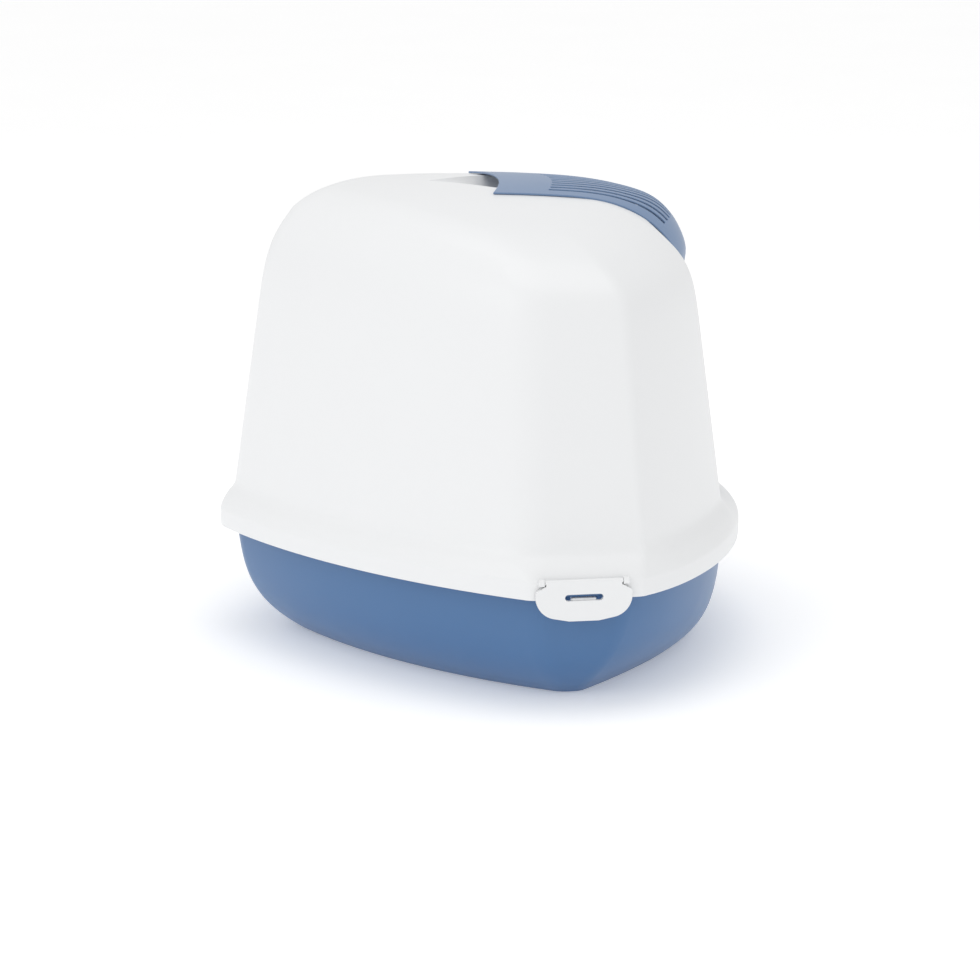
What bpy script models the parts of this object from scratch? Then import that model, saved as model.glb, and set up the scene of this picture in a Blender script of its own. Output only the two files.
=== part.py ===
"""Corner cat litter box with a lift-off hood.

Metres, +Z up. The entrance faces -Y, the corner that goes into a room's corner is at +Y, and the
object is mirror-symmetric about the plane X = 0. The origin is under the middle of its box.
"""
import bmesh
import bpy
from math import cos, pi, radians, sin, sqrt
from mathutils import Matrix, Vector

# ---- Driving dimensions ----
GAP = 0.0004                  # clearance between pieces that rest on each other

SKIRT_BOTTOM = 0.095          # height of the hood's lower edge
SKIRT_TOP = 0.1105            # top of the upright band
LEDGE_TOP = 0.130             # where the sloping ledge meets the hood's wall
LEDGE_SHARE = 0.88            # how far in the ledge's upper edge is, from skirt to wall
WALL_START = 0.133            # where the wall is straight from
SHOULDER_START = 0.328        # where the wall turns over into the shoulder
HOOD_WALL = 0.0026

CROWN_HEIGHT = 0.394          # highest point of the hood itself
CROWN_MIDDLE = 0.03           # how far back that point lies
CROWN_RADIUS_ACROSS = 0.80
CROWN_RADIUS_ALONG = 1.14
SHOULDER_START_ANGLE = radians(8)
SHOULDER_BACK = 0.066         # how far the shoulder reaches in at the back
SHOULDER_FRONT = 0.086        # and at the front

# The plan outlines. Each runs from the middle of the back round the left side in eight stretches:
# back corner, long back wall, bend, upright side, crease, slanted front side, front corner, front.
# All but the straight upright side are arcs. "turn_" values are the directions, in degrees, that the
# outline faces where an arc ends; the slanted side begins with two tighter arcs, easing it in.
RIM = dict(back=0.2275, side=0.2925, front=-0.2275,
           turn_back=114, turn_wall=144, turn_crease=213, turn_ease=222, turn_eased=231,
           turn_slant=249, turn_front=251, r_back=0.045, r_bend=0.016, r_crease=0.016,
           r_ease=0.170, r_eased=0.235, r_corner=0.40, r_front=0.40)
WALL_BASE = dict(back=0.2143, side=0.2765, front=-0.1950,
                 turn_back=114, turn_wall=142, turn_crease=226, turn_ease=228, turn_eased=230,
                 turn_slant=249, turn_front=269.9, r_back=0.050, r_bend=0.055, r_crease=0.010,
                 r_ease=0.36, r_eased=0.36, r_corner=0.022, r_front=65.0)
WALL_TOP = dict(WALL_BASE, back=0.1850, side=0.2485, front=-0.1680, r_back=0.055, r_bend=0.060,
                r_crease=0.018, r_ease=0.30, r_eased=0.30, r_corner=0.026, r_front=64.0)
TRAY_RIM = dict(RIM, back=0.2130, side=0.2780, front=-0.2130, r_back=0.031, r_bend=0.012,
                r_crease=0.012, r_ease=0.156, r_eased=0.221, r_corner=0.386, r_front=0.386)
TRAY_FLOOR = dict(RIM, back=0.1580, side=0.2325, front=-0.1910,
                  turn_back=115, turn_wall=146, turn_crease=222, turn_ease=226, turn_eased=230,
                  r_back=0.030, r_bend=0.010, r_crease=0.010, r_ease=0.60, r_eased=0.80,
                  r_corner=0.175, r_front=0.175)

# Tray
TRAY_WALL = 0.0025
TRAY_RIM_BOTTOM = 0.0975      # underside of the turned-out rim
TRAY_RIM_TOP = 0.1025
TRAY_RIM_REACH = 0.0100       # how far the rim turns out from the wall
TRAY_LEAN_SHARE = 0.22        # share of the inward run that is an even lean; the rest is the curve
TRAY_CURVE = 3.5

# Latches, on the flat of each side. Each turns on ears of the hood, outside its skirt. Its hook goes
# through a notch in the skirt and under a lug on the tray's rim.
LATCH_Y = -0.0425             # middle of the latch along the side
LATCH_HALF_WIDTH = 0.039
LATCH_BOTTOM = 0.078
LATCH_PIVOT_X = 0.2949
LATCH_PIVOT_Z = 0.1105
LATCH_BARREL_RADIUS = 0.0019
LATCH_BARREL_HALF = 0.029
LATCH_PIN_RADIUS = 0.0008
LATCH_PLATE_IN = 0.2934
LATCH_PLATE_OUT = 0.2960
LATCH_SHOULDER = 0.1035       # below this height the plate has its full width
LATCH_SLOPE = 0.004           # height of the slanted corners above it
LATCH_CORNER = 0.018          # radius of the rounded lower corners
LATCH_BOW = 0.0025            # how much lower the middle hangs than the corners
SLOT_HALF_WIDTH = 0.0155
SLOT_LOW = 0.0950
SLOT_HIGH = 0.1003
HOOK_TIP = 0.2893
HOOK_HALF_WIDTH = 0.010
HOOK_LOW = 0.0930
HOOK_HIGH = 0.0966
LUG_OUT = 0.2921
LUG_ROOT = 0.2800
LUG_HALF_WIDTH = 0.021
NOTCH_HALF_WIDTH = 0.025
NOTCH_IN = 0.284
NOTCH_TOP = 0.1045
EAR_WIDTH = 0.0045
LATCH_PIN_HALF = LATCH_BARREL_HALF + EAR_WIDTH * 0.7
EAR_IN = 0.2910
EAR_OUT = 0.2970
EAR_BELOW = 0.0030            # how far an ear reaches below the pivot
EAR_ABOVE = 0.0022
BORE_FIT = 0.0003             # radial clearance of a pin in its bore

# Entrance, a flat panel that leans back with the wall
DOOR_HALF_WIDTH = 0.100
DOOR_LOW = 0.142
DOOR_HIGH = 0.307
DOOR_LOW_RADIUS = 0.034
DOOR_HIGH_RADIUS = 0.006
FRAME_FIT = 0.0006
FRAME_WALL = 0.0026
FRAME_FLANGE = 0.008
FRAME_THICKNESS = 0.0024
FRAME_BACKING = 0.0028        # wall left behind the frame's flange, which sits in a rebate
FRAME_INNER_END = -0.150
FLAP_Y = -0.163
FLAP_PIVOT_Z = 0.2965
FLAP_THICKNESS = 0.0026
FLAP_BARREL_RADIUS = 0.0034
FLAP_PIN_RADIUS = 0.0018
FLAP_SIDE_GAP = 0.0016
FLAP_LOW_GAP = 0.0030
FLAP_PULL_HALF = 0.030        # the finger rib near the flap's lower edge
FLAP_PULL_PROUD = 0.004
FLAP_PULL_LOW = 0.012
FLAP_PULL_HEIGHT = 0.003

# Grip scoop in the top, and the strip over it
STRIP_HALF_WIDTH = 0.073
STRIP_THICKNESS = 0.0034
STRIP_BACK = -0.0205          # the grip's edge, at the middle
STRIP_BACK_BOW = 0.200        # radius of that edge, which is hollow towards the back
STRIP_BOTTOM = 0.3165
SCOOP_STATIONS = (            # (y, half width, depth) of the grip scoop, from its tip forwards
    (0.0410, 0.002, 0.001), (0.0140, 0.0235, 0.009), (-0.0100, 0.0430, 0.019),
    (-0.0260, 0.0510, 0.025), (-0.0460, 0.0500, 0.025), (-0.0560, 0.0380, 0.019),
    (-0.0600, 0.0200, 0.010))
SLOT_COUNT = 13
SLOT_PITCH = 0.0096
SLOT_WIDTH = 0.0034
SLOT_BACK = -0.066
SLOT_FRONT = -0.160
SLOT_LOWEST = 0.350

# Filter, tilted under the shoulder
FILTER_TILT = radians(20)
FILTER_CENTRE = Vector((0.0, -0.108, 0.3600))
FILTER_HALF = Vector((0.057, 0.038, 0.003))
HOLDER_WALL = 0.002
HOLDER_RISE = 0.0085
COLLAR_WALL = 0.002
COLLAR_DEPTH = 0.008
WINDOW_HALF = Vector((0.054, 0.034))
GRID_COLUMNS = 7
GRID_ROWS = 5
GRID_RIB = 0.0026

# Segments along each stretch of an outline, and levels up the walls
STRETCH_STEPS = (3, 7, 5, 2, 4, 6, 3, 4)
WALL_LEVELS = 4
SHOULDER_LEVELS = 7
CROWN_RINGS = (0.72, 0.42, 0.14)
TRAY_LEVELS = 9


SIDES = ((-1, "left"), (1, "right"))

# (colour, roughness, and metallic where it is one) of each finish
WHITE_PLASTIC = ((0.87, 0.88, 0.89), 0.35)
BLUE_PLASTIC = ((0.107, 0.204, 0.347), 0.35)
STRIP_PLASTIC = ((0.09, 0.17, 0.33), 0.35)
TINTED_PLASTIC = ((0.30, 0.40, 0.50), 0.15)
CHARCOAL_FOAM = ((0.02, 0.02, 0.02), 0.95)
STEEL = ((0.75, 0.76, 0.78), 0.3, 1.0)
PIN_PLASTIC = ((0.55, 0.57, 0.60), 0.45)


# ---- Plan outlines ----
def blend(low, high, share):
    """A plan between two plans."""
    return {key: low[key] + (high[key] - low[key]) * share for key in low}


def inset(plan, distance):
    """A plan moved inwards by the same distance all round."""
    moved = dict(plan)
    for key in plan:
        if key in ("back", "side") or key.startswith("r_"):
            moved[key] = plan[key] - distance
    moved["front"] = plan["front"] + distance
    return moved


def trace(x, y, arcs, steps):
    """Evenly spaced points along joined arcs (start, end, radius) from a point, without that point."""
    lengths = [r * (end - start) for start, end, r in arcs]
    points = []
    for i in range(1, steps + 1):
        left = sum(lengths) * i / steps
        px, py = x, y
        for (start, end, r), length in zip(arcs, lengths):
            angle = start + (end - start) * min(left / length, 1.0)
            px += r * (cos(angle) - cos(start))
            py += r * (sin(angle) - sin(start))
            left -= length
            if left <= 1e-12:
                break
        points.append((px, py))
    return points


def outline(plan):
    """Points (x, y) of a closed plan outline, from the middle of the back round the left side."""
    turns = {key[5:]: radians(value) for key, value in plan.items() if key.startswith("turn_")}
    upright, ahead = pi, 1.5 * pi
    # The back wall's radius makes the outline exactly as wide as the plan says.
    taken = plan["r_back"] * cos(turns["back"]) + plan["r_bend"] * (-1 - cos(turns["wall"]))
    r_wall = (-plan["side"] - taken) / (cos(turns["wall"]) - cos(turns["back"]))
    rear = ([(pi / 2, turns["back"], plan["r_back"])], [(turns["back"], turns["wall"], r_wall)],
            [(turns["wall"], upright, plan["r_bend"])])
    # The slanted side's radius brings it to the middle of the front.
    crease = (upright, turns["crease"], plan["r_crease"])
    ease = [(turns["crease"], turns["ease"], plan["r_ease"]),
            (turns["ease"], turns["eased"], plan["r_eased"])]
    corner = (turns["slant"], turns["front"], plan["r_corner"])
    front = (turns["front"], ahead, plan["r_front"])
    across = sum(r * (cos(end) - cos(start)) for start, end, r in [crease, corner, front] + ease)
    r_slant = (plan["side"] - across) / (cos(turns["slant"]) - cos(turns["eased"]))
    slant = ease + [(turns["eased"], turns["slant"], r_slant)]
    fore = [crease], slant, [corner], [front]
    # The upright side's length makes it exactly as deep.
    drop = sum(r * (sin(end) - sin(start)) for arcs in rear + fore for start, end, r in arcs)
    side_length = plan["back"] - plan["front"] + drop
    half = [(0.0, plan["back"])]
    for arcs, steps in zip(rear, STRETCH_STEPS[:3]):
        half += trace(*half[-1], arcs, steps)
    x, y = half[-1]
    half += [(x, y - side_length * i / STRETCH_STEPS[3]) for i in range(1, STRETCH_STEPS[3] + 1)]
    for arcs, steps in zip(fore, STRETCH_STEPS[4:]):
        half += trace(*half[-1], arcs, steps)
    half[-1] = (0.0, plan["front"])
    return half + [(-px, py) for px, py in reversed(half[1:-1])]


def level(plan, height):
    return [Vector((x, y, height)) for x, y in outline(plan)]


def crown(x, y):
    """Height of the hood's domed top over a point."""
    return (CROWN_HEIGHT - x * x / (2 * CROWN_RADIUS_ACROSS)
            - (y - CROWN_MIDDLE) ** 2 / (2 * CROWN_RADIUS_ALONG))


# ---- Meshes ----
def new_object(name, bm, finish=None):
    bmesh.ops.recalc_face_normals(bm, faces=bm.faces)
    mesh = bpy.data.meshes.new(name)
    bm.to_mesh(mesh)
    bm.free()
    obj = bpy.data.objects.new(name, mesh)
    bpy.context.scene.collection.objects.link(obj)
    if finish is not None:
        paint(obj, *finish)
    return obj


def paint(obj, colour, roughness, metallic=0.0):
    material = bpy.data.materials.new(obj.name + "_finish")
    material.use_nodes = True
    shader = material.node_tree.nodes["Principled BSDF"]
    shader.inputs["Base Color"].default_value = (*colour, 1.0)
    shader.inputs["Roughness"].default_value = roughness
    shader.inputs["Metallic"].default_value = metallic
    obj.data.materials.append(material)


def loft(rings, closed=False):
    """A skin through rings of equally many points. It is capped at both ends, or joined end to end."""
    bm = bmesh.new()
    first = [bm.verts.new(p) for p in rings[0]]
    count = len(first)
    edges = [bm.edges.new((first[i], first[(i + 1) % count])) for i in range(count)]
    first_edges = list(edges)
    verts = first
    for ring in rings[1:]:
        made = bmesh.ops.extrude_edge_only(bm, edges=edges)["geom"]
        new_verts = {item for item in made if isinstance(item, bmesh.types.BMVert)}
        verts = [next(e.other_vert(v) for e in v.link_edges if e.other_vert(v) in new_verts)
                 for v in verts]
        for vert, point in zip(verts, ring):
            vert.co = point
        edges = [bm.edges.get((verts[i], verts[(i + 1) % count])) for i in range(count)]
    if closed:
        bmesh.ops.bridge_loops(bm, edges=first_edges + edges)
    else:
        bm.faces.new(first)
        bm.faces.new(verts)
    bmesh.ops.recalc_face_normals(bm, faces=bm.faces)
    bmesh.ops.triangulate(bm, faces=bm.faces)
    return bm


def box(low, high):
    bm = bmesh.new()
    bmesh.ops.create_cube(bm, size=1.0)
    low, high = Vector(low), Vector(high)
    bmesh.ops.scale(bm, vec=high - low, verts=bm.verts)
    bmesh.ops.translate(bm, vec=(low + high) / 2, verts=bm.verts)
    return bm


def side_box(side, x_range, y_range, z_range):
    """A box on the left (side -1) or right (side 1), with distances from the middle plane."""
    near, far = sorted(side * x for x in x_range)
    return box((near, y_range[0], z_range[0]), (far, y_range[1], z_range[1]))


def rod(start, end, radius, segments=16):
    start, end = Vector(start), Vector(end)
    bm = bmesh.new()
    bmesh.ops.create_cone(bm, cap_ends=True, segments=segments, radius1=radius, radius2=radius,
                          depth=(end - start).length)
    turn = (end - start).to_track_quat("Z", "Y").to_matrix().to_4x4()
    bmesh.ops.transform(bm, matrix=Matrix.Translation((start + end) / 2) @ turn, verts=bm.verts)
    return bm


def prism(points, run):
    """A flat outline pushed along run."""
    bm = bmesh.new()
    face = bm.faces.new([bm.verts.new(p) for p in points])
    made = bmesh.ops.extrude_face_region(bm, geom=[face])["geom"]
    bmesh.ops.translate(bm, vec=run, verts=[v for v in made if isinstance(v, bmesh.types.BMVert)])
    return bm


def tool(name, bm):
    """A cutter or an added block, which isn't itself part of the object."""
    obj = new_object(name, bm)
    obj.hide_render = True
    obj.display_type = "WIRE"
    return obj


def combine(target, operation, *tools):
    for other in tools:
        modifier = target.modifiers.new(other.name, "BOOLEAN")
        modifier.operation = operation
        modifier.solver = "EXACT"
        modifier.object = other
    return target


def smooth(obj, degrees=35):
    obj.data.shade_smooth()
    obj.data.set_sharp_from_angle(angle=radians(degrees))


# ---- Hood ----
def hood_skin(depth, bottom):
    """Rings of the hood's skin, depth inside its outer face, from its lower edge to the crown."""
    skirt = inset(RIM, depth)
    rings = [level(skirt, bottom), level(skirt, SKIRT_TOP - depth * 0.4)]
    rim, wall = outline(skirt), outline(inset(WALL_BASE, depth))
    rings.append([Vector((*(LEDGE_SHARE * Vector(b) + (1 - LEDGE_SHARE) * Vector(a)),
                          LEDGE_TOP - 0.003 - depth * 0.8)) for a, b in zip(rim, wall)])
    for i in range(WALL_LEVELS + 1):
        share = i / WALL_LEVELS
        height = WALL_START + (SHOULDER_START - WALL_START) * share
        share = (height - LEDGE_TOP) / (SHOULDER_START - LEDGE_TOP)
        rings.append(level(inset(blend(WALL_BASE, WALL_TOP, share), depth), height - depth * share * 0.5))
    base = rings[-1]
    start = base[0].z
    floor_sin = sin(SHOULDER_START_ANGLE)
    back, front = base[0].y, base[sum(STRETCH_STEPS)].y
    middle = (back + front) / 2
    half_x, half_y = max(p.x for p in base), (back - front) / 2
    for i in range(1, SHOULDER_LEVELS + 1):
        angle = SHOULDER_START_ANGLE + (pi / 2 - SHOULDER_START_ANGLE) * i / SHOULDER_LEVELS
        run = cos(SHOULDER_START_ANGLE) - cos(angle)
        rise = (sin(angle) - floor_sin) / (1 - floor_sin)
        ring = []
        for point in base:
            forward = (back - point.y) / (back - front)
            reach = (SHOULDER_BACK + (SHOULDER_FRONT - SHOULDER_BACK) * forward - depth) * run
            # A point moves in by the same reach across and along, in proportion to its place.
            x = point.x * (1 - reach / half_x)
            y = middle + (point.y - middle) * (1 - reach / half_y)
            top = crown(x, y) - depth
            ring.append(Vector((x, y, start + (top - start) * rise)))
        rings.append(ring)
    edge = rings[-1]
    for share in CROWN_RINGS:
        ring = []
        for point in edge:
            x, y = point.x * share, middle + (point.y - middle) * share
            ring.append(Vector((x, y, crown(x, y) - depth)))
        rings.append(ring)
    return rings


def scoop(grow):
    """The grip scoop in the top, or the cup around it when grown by the wall."""
    rings = []
    last = len(SCOOP_STATIONS) - 1
    for i, (y, half, depth) in enumerate(SCOOP_STATIONS):
        y += grow if i == 0 else -grow if i == last else 0
        centre = crown(0, y) + 0.004
        ring = []
        for k in range(24):
            angle = 2 * pi * k / 24
            ring.append(Vector(((half + grow) * cos(angle), y,
                                centre + (depth + grow + 0.004) * sin(angle))))
        rings.append(ring)
    return loft(rings)


def filter_place():
    return Matrix.Translation(FILTER_CENTRE) @ Matrix.Rotation(FILTER_TILT, 4, "X")


def tilted_box(low, high):
    bm = box(low, high)
    bmesh.ops.transform(bm, matrix=filter_place(), verts=bm.verts)
    return bm


def panel_y(z):
    """Where the flat entrance panel's outer face is at a height."""
    share = (z - LEDGE_TOP) / (SHOULDER_START - LEDGE_TOP)
    return WALL_BASE["front"] + (WALL_TOP["front"] - WALL_BASE["front"]) * share


def door_outline(grow, steps=6):
    """(x, z) points of the entrance, grown or shrunk all round."""
    half, low, high = DOOR_HALF_WIDTH + grow, DOOR_LOW - grow, DOOR_HIGH + grow
    r_low, r_high = DOOR_LOW_RADIUS + grow, max(DOOR_HIGH_RADIUS + grow, 0.0015)
    corners = ((half - r_low, low + r_low, r_low, -90), (half - r_high, high - r_high, r_high, 0),
               (r_high - half, high - r_high, r_high, 90), (r_low - half, low + r_low, r_low, 180))
    points = []
    for x, z, r, start in corners:
        for i in range(steps + 1):
            angle = radians(start + 90 * i / steps)
            points.append((x + r * cos(angle), z + r * sin(angle)))
    return points


def door_block(grow, outside, inside):
    """A block of the entrance's outline that leans with the panel, between two depths below it."""
    return loft([[Vector((x, panel_y(z) + depth, z)) for x, z in door_outline(grow)]
                 for depth in (outside, inside)])


def latch_rod(side, half, radius, segments):
    """A rod on a latch's pivot line."""
    return rod((side * LATCH_PIVOT_X, LATCH_Y - half, LATCH_PIVOT_Z),
               (side * LATCH_PIVOT_X, LATCH_Y + half, LATCH_PIVOT_Z), radius, segments)


def build_hood():
    hood = new_object("hood", loft(hood_skin(0.0, SKIRT_BOTTOM)), WHITE_PLASTIC)
    cavity = tool("hood_cavity", loft(hood_skin(HOOD_WALL, SKIRT_BOTTOM - 0.005)))
    reach = FILTER_HALF.x + HOLDER_WALL + GAP, FILTER_HALF.y + HOLDER_WALL + GAP
    collar = tool("filter_collar", tilted_box(
        (-reach[0] - COLLAR_WALL, -reach[1] - COLLAR_WALL, -COLLAR_DEPTH),
        (reach[0] + COLLAR_WALL, reach[1] + COLLAR_WALL, 0.06)))
    flange_floor = FRAME_THICKNESS + GAP
    surround = tool("door_surround", door_block(FRAME_FLANGE + FRAME_BACKING, -0.02,
                                                flange_floor + FRAME_BACKING))
    combine(cavity, "DIFFERENCE", tool("scoop_cup", scoop(HOOD_WALL)), collar, surround)
    rebate = tool("door_rebate", door_block(FRAME_FLANGE + GAP, -0.02, flange_floor))
    well = tool("filter_well", tilted_box((-reach[0], -reach[1], -0.03),
                                          (reach[0], reach[1], HOLDER_RISE + 0.0006)))
    window = tool("vent_window", tilted_box((-WINDOW_HALF.x, -WINDOW_HALF.y, 0.0),
                                            (WINDOW_HALF.x, WINDOW_HALF.y, 0.08)))
    door = tool("door_cut", prism([(x, -0.30, z) for x, z in door_outline(0.0)], (0, 0.18, 0)))
    combine(hood, "DIFFERENCE", cavity, tool("scoop_cut", scoop(0.0)), well, window, door, rebate)
    for side, tag in SIDES:
        for end in (-1, 1):
            span = sorted((LATCH_Y + end * (LATCH_BARREL_HALF + GAP),
                           LATCH_Y + end * (LATCH_BARREL_HALF + GAP + EAR_WIDTH)))
            ear = side_box(side, (EAR_IN, EAR_OUT), span,
                           (LATCH_PIVOT_Z - EAR_BELOW, LATCH_PIVOT_Z + EAR_ABOVE))
            combine(hood, "UNION", tool("latch_ear_%s_%d" % (tag, end), ear))
        bore = latch_rod(side, LATCH_PIN_HALF + GAP, LATCH_PIN_RADIUS + BORE_FIT, 12)
        notch = side_box(side, (NOTCH_IN, EAR_OUT + EAR_WIDTH),
                         (LATCH_Y - NOTCH_HALF_WIDTH, LATCH_Y + NOTCH_HALF_WIDTH),
                         (SKIRT_BOTTOM - 0.01, NOTCH_TOP))
        combine(hood, "DIFFERENCE", tool("latch_bore_" + tag, bore), tool("latch_notch_" + tag, notch))
    smooth(hood)
    return hood


# ---- Vent strip ----
def strip_footprint():
    """(x, y) outline of the strip from above: hollow at the grip's edge, straight sides."""
    steps = 8
    bow = []
    for i in range(steps + 1):
        x = STRIP_HALF_WIDTH * (2 * i / steps - 1)
        bow.append((x, STRIP_BACK + STRIP_BACK_BOW - sqrt(STRIP_BACK_BOW ** 2 - x * x)))
    return bow + [(STRIP_HALF_WIDTH, -0.25), (-STRIP_HALF_WIDTH, -0.25)]


def grown_skin(distance):
    """The hood's skin moved out, as a closed block."""
    return loft([[Vector(p) for p in ring] for ring in hood_skin(-distance, SKIRT_BOTTOM)])


def build_vent_cover():
    cover = new_object("vent_cover", prism([(x, y, STRIP_BOTTOM) for x, y in strip_footprint()],
                                           (0, 0, 0.2)), STRIP_PLASTIC)
    combine(cover, "INTERSECT", tool("cover_outside", grown_skin(STRIP_THICKNESS + GAP)))
    combine(cover, "DIFFERENCE", tool("cover_inside", grown_skin(GAP)))
    for i in range(SLOT_COUNT):
        x = (i - (SLOT_COUNT - 1) / 2) * SLOT_PITCH
        back = SLOT_BACK + x * x / (2 * STRIP_BACK_BOW)
        slot = box((x - SLOT_WIDTH / 2, SLOT_FRONT, SLOT_LOWEST), (x + SLOT_WIDTH / 2, back, 0.42))
        combine(cover, "DIFFERENCE", tool("vent_slot_%02d" % i, slot))
    smooth(cover)
    return cover


# ---- Filter ----
def build_filter():
    pad = new_object("filter_pad", tilted_box(-FILTER_HALF, FILTER_HALF), CHARCOAL_FOAM)
    bevel = pad.modifiers.new("soft_edges", "BEVEL")
    bevel.width = 0.0012
    bevel.segments = 2
    half = FILTER_HALF + Vector((HOLDER_WALL, HOLDER_WALL, 0))
    floor = -FILTER_HALF.z - HOLDER_WALL - GAP
    holder = new_object("filter_holder", tilted_box((-half.x, -half.y, floor),
                                                    (half.x, half.y, HOLDER_RISE)), BLUE_PLASTIC)
    inner = FILTER_HALF + Vector((GAP, GAP, 0))
    combine(holder, "DIFFERENCE", tool("holder_inside", tilted_box(
        (-inner.x, -inner.y, -FILTER_HALF.z - GAP), (inner.x, inner.y, 0.03))))
    cell = (inner - Vector((GRID_RIB, GRID_RIB, 0))) * 2
    for i in range(GRID_COLUMNS):
        for k in range(GRID_ROWS):
            x = -inner.x + GRID_RIB + cell.x * i / GRID_COLUMNS
            y = -inner.y + GRID_RIB + cell.y * k / GRID_ROWS
            hole = tilted_box((x + GRID_RIB / 2, y + GRID_RIB / 2, -0.02),
                              (x + cell.x / GRID_COLUMNS - GRID_RIB / 2,
                               y + cell.y / GRID_ROWS - GRID_RIB / 2, 0.0))
            combine(holder, "DIFFERENCE", tool("holder_hole_%d_%d" % (i, k), hole))
    return holder, pad


# ---- Entrance ----
def build_door_frame():
    def ring(grow, place):
        return [Vector((x, place(z), z)) for x, z in door_outline(grow)]

    def face(z):
        return panel_y(z)

    def seat(z):
        return panel_y(z) + FRAME_THICKNESS

    def inner_end(z):
        return FRAME_INNER_END

    inside, outside = -FRAME_FIT - FRAME_WALL, -FRAME_FIT
    rings = [ring(inside, face), ring(FRAME_FLANGE, face), ring(FRAME_FLANGE, seat),
             ring(outside, seat), ring(outside, inner_end), ring(inside, inner_end)]
    frame = new_object("door_frame", loft(rings, closed=True), BLUE_PLASTIC)
    bore = flap_rod(-DOOR_HALF_WIDTH - 0.01, DOOR_HALF_WIDTH + 0.01, FLAP_PIN_RADIUS + BORE_FIT)
    combine(frame, "DIFFERENCE", tool("flap_bore", bore))
    return frame


def flap_rod(start, end, radius, segments=16):
    """A rod on the flap's pivot line, from one x to another."""
    return rod((start, FLAP_Y, FLAP_PIVOT_Z), (end, FLAP_Y, FLAP_PIVOT_Z), radius, segments)


def build_flap():
    half = DOOR_HALF_WIDTH - FRAME_FIT - FRAME_WALL - FLAP_SIDE_GAP
    low = DOOR_LOW + FRAME_FIT + FRAME_WALL + FLAP_LOW_GAP
    radius = DOOR_LOW_RADIUS - FRAME_FIT - FRAME_WALL
    steps = 6
    points = [(half, FLAP_PIVOT_Z), (-half, FLAP_PIVOT_Z)]
    for x, start in ((radius - half, 180), (half - radius, 270)):
        for i in range(steps + 1):
            angle = radians(start + 90 * i / steps)
            points.append((x + radius * cos(angle), low + radius + radius * sin(angle)))
    near = FLAP_Y - FLAP_THICKNESS / 2
    flap = new_object("door_flap", prism([(x, near, z) for x, z in points], (0, FLAP_THICKNESS, 0)),
                      TINTED_PLASTIC)
    barrel = flap_rod(-half, half, FLAP_BARREL_RADIUS, 20)
    pull = box((-FLAP_PULL_HALF, near - FLAP_PULL_PROUD, low + FLAP_PULL_LOW),
               (FLAP_PULL_HALF, FLAP_Y, low + FLAP_PULL_LOW + FLAP_PULL_HEIGHT))
    combine(flap, "UNION", tool("flap_barrel", barrel), tool("flap_pull", pull))
    for side, tag in SIDES:
        hole = flap_rod(side * (half - 0.012), side * (half + 0.005), FLAP_PIN_RADIUS + BORE_FIT)
        combine(flap, "DIFFERENCE", tool("flap_hole_" + tag, hole))
        pin = flap_rod(side * (half - 0.011), side * (DOOR_HALF_WIDTH + 0.0015), FLAP_PIN_RADIUS)
        smooth(new_object("flap_pin_" + tag, pin, PIN_PLASTIC))
    return flap


# ---- Latches ----
def latch_outline(steps=6):
    """(along the side, height) points of a latch's plate."""
    top = LATCH_BARREL_HALF - 0.001
    half = [(top, LATCH_PIVOT_Z), (top, LATCH_SHOULDER + LATCH_SLOPE),
            (LATCH_HALF_WIDTH - 0.001, LATCH_SHOULDER), (LATCH_HALF_WIDTH, LATCH_SHOULDER - 0.002)]
    for i in range(steps + 1):
        angle = radians(-78 * i / steps)
        half.append((LATCH_HALF_WIDTH - LATCH_CORNER + LATCH_CORNER * cos(angle),
                     LATCH_BOTTOM + LATCH_BOW + LATCH_CORNER + LATCH_CORNER * sin(angle)))
    half.append((0.012, LATCH_BOTTOM + 0.0004))
    return half + [(-y, z) for y, z in reversed(half)]


def finger_slot_outline(steps=8):
    """(along the side, height) points of the slot in a latch."""
    radius, middle = (SLOT_HIGH - SLOT_LOW) / 2, (SLOT_HIGH + SLOT_LOW) / 2
    points = []
    for y, start in ((SLOT_HALF_WIDTH - radius, -90), (radius - SLOT_HALF_WIDTH, 90)):
        for i in range(steps + 1):
            angle = radians(start + 180 * i / steps)
            points.append((y + radius * cos(angle), middle + radius * sin(angle)))
    return points


def build_latch(side, tag):
    def plate_block(points, inner, outer):
        return prism([(side * inner, LATCH_Y + y, z) for y, z in points], (side * (outer - inner), 0, 0))

    latch = new_object("latch_" + tag, plate_block(latch_outline(), LATCH_PLATE_IN, LATCH_PLATE_OUT),
                       WHITE_PLASTIC)
    barrel = latch_rod(side, LATCH_BARREL_HALF, LATCH_BARREL_RADIUS, 20)
    hook_span = LATCH_Y - HOOK_HALF_WIDTH, LATCH_Y + HOOK_HALF_WIDTH
    hook = side_box(side, (HOOK_TIP, LATCH_PLATE_IN + 0.001), hook_span, (HOOK_LOW, HOOK_HIGH))
    combine(latch, "UNION", tool("latch_barrel_" + tag, barrel), tool("latch_hook_" + tag, hook))
    slot = tool("latch_slot_" + tag,
                plate_block(finger_slot_outline(), LATCH_PLATE_IN - 0.001, LATCH_PLATE_OUT + 0.001))
    # The slot goes right through but leaves the hook's root, a ledge in its lower middle.
    root = side_box(side, (NOTCH_IN, LATCH_PLATE_IN + 0.0012), hook_span, (HOOK_LOW, HOOK_HIGH))
    combine(slot, "DIFFERENCE", tool("hook_root_" + tag, root))
    bore = latch_rod(side, LATCH_PIN_HALF + EAR_WIDTH, LATCH_PIN_RADIUS + BORE_FIT, 12)
    combine(latch, "DIFFERENCE", slot, tool("latch_pin_bore_" + tag, bore))
    smooth(new_object("latch_pin_" + tag, latch_rod(side, LATCH_PIN_HALF, LATCH_PIN_RADIUS, 12), STEEL))
    return latch


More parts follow.
